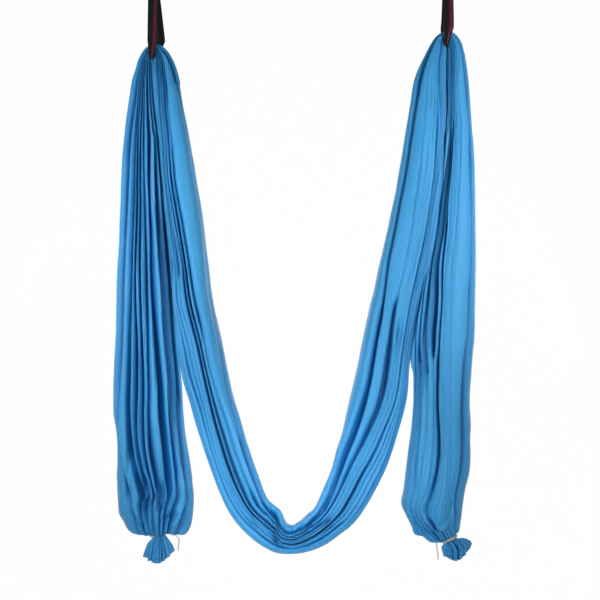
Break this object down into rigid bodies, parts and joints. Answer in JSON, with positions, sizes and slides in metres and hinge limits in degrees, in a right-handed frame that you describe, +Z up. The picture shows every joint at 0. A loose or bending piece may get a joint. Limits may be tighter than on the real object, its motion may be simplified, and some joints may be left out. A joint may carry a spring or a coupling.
{
  "type": "aerial yoga hammock",
  "caption": "Aerial yoga hammock: gathered nylon cloth over two daisy-chain straps on screw-gate carabiners and ceiling eyes, with a tied tail outside each strap.",
  "frame": {"origin": "on the ceiling, midway between the two anchor plates", "axes": "+Z up, +X from the left strap to the right one as seen from the front, -Y towards the viewer in front"},
  "size_m": [0.855, 0.128, 1.63],
  "materials": {
    "cloth": "satin",
    "webbing": "matte",
    "thread": "matte",
    "cord": "matte",
    "anchor_steel": "satin",
    "screw_steel": "satin",
    "carabiner_steel": "satin",
    "spring_steel": "satin",
    "sleeve": "satin"
  },
  "bodies": {
    "ceiling": {"left_anchor_plate": "anchor_steel", "left_anchor_eye": "anchor_steel", "left_anchor_screw_1": "screw_steel", "left_anchor_screw_2": "screw_steel", "left_anchor_screw_3": "screw_steel", "left_anchor_screw_4": "screw_steel", "right_anchor_plate": "anchor_steel", "right_anchor_eye": "anchor_steel", "right_anchor_screw_1": "screw_steel", "right_anchor_screw_2": "screw_steel", "right_anchor_screw_3": "screw_steel", "right_anchor_screw_4": "screw_steel"},
    "left_carabiner": {"left_carabiner_body": "carabiner_steel", "left_gate_hinge_pin": "carabiner_steel"},
    "left_gate": {"left_carabiner_gate": "carabiner_steel", "left_gate_latch_pin": "carabiner_steel", "left_gate_spring": "spring_steel", "left_gate_plunger": "spring_steel"},
    "left_sleeve": {"left_lock_sleeve": "sleeve"},
    "right_carabiner": {"right_carabiner_body": "carabiner_steel", "right_gate_hinge_pin": "carabiner_steel"},
    "right_gate": {"right_carabiner_gate": "carabiner_steel", "right_gate_latch_pin": "carabiner_steel", "right_gate_spring": "spring_steel", "right_gate_plunger": "spring_steel"},
    "right_sleeve": {"right_lock_sleeve": "sleeve"},
    "hammock": {"seat_cloth": "cloth", "left_strap": "webbing", "left_bar_tack_upper": "thread", "left_bar_tack_lower": "thread", "right_strap": "webbing", "right_bar_tack_upper": "thread", "right_bar_tack_lower": "thread"},
    "left_tail": {"left_tail": "cloth", "left_tie_wrap": "cord", "left_tie_end": "cord", "left_end_flare": "cloth"},
    "right_tail": {"right_tail": "cloth", "right_tie_wrap": "cord", "right_tie_end": "cord", "right_end_flare": "cloth"}
  },
  "joints": [
    {"name": "carabiner_swing", "type": "hinge", "parent": "ceiling", "child": "left_carabiner", "pos_m": [-0.345, 0, -0.0337], "axis": [1, 0, 0], "range_deg": [-45, 45]},
    {"name": "right_carabiner_swing", "type": "hinge", "parent": "ceiling", "child": "right_carabiner", "pos_m": [0.345, 0, -0.0337], "axis": [1, 0, 0], "range_deg": [-45, 45]},
    {"name": "hammock_swing", "type": "hinge", "parent": "left_carabiner", "child": "hammock", "pos_m": [-0.345, 0, -0.1317], "axis": [1, 0, 0], "range_deg": [-45, 45]},
    {"name": "left_gate_hinge", "type": "hinge", "parent": "left_carabiner", "child": "left_gate", "pos_m": [-0.321, 0, -0.1097], "axis": [0, -1, 0], "range_deg": [0, 22], "stiffness_Nm_per_rad": 0.6, "springref_deg": -17.19},
    {"name": "left_sleeve_slide", "type": "slide", "parent": "left_gate", "child": "left_sleeve", "axis": [0, 0, -1], "range_m": [-0.0155, 0]},
    {"name": "right_gate_hinge", "type": "hinge", "parent": "right_carabiner", "child": "right_gate", "pos_m": [0.321, 0, -0.1097], "axis": [0, 1, 0], "range_deg": [0, 22], "stiffness_Nm_per_rad": 0.6, "springref_deg": -17.19},
    {"name": "right_sleeve_slide", "type": "slide", "parent": "right_gate", "child": "right_sleeve", "axis": [0, 0, -1], "range_m": [-0.0155, 0]},
    {"name": "left_tail_swing", "type": "hinge", "parent": "hammock", "child": "left_tail", "pos_m": [-0.3676, 0, -0.4416], "axis": [0, 1, 0], "range_deg": [0, 35]},
    {"name": "right_tail_swing", "type": "hinge", "parent": "hammock", "child": "right_tail", "pos_m": [0.3703, 0, -0.4116], "axis": [0, -1, 0], "range_deg": [0, 35]}
  ],
  "couplings": [
    {"joint": "right_carabiner_swing", "follows": "carabiner_swing", "ratio": 1}
  ]
}
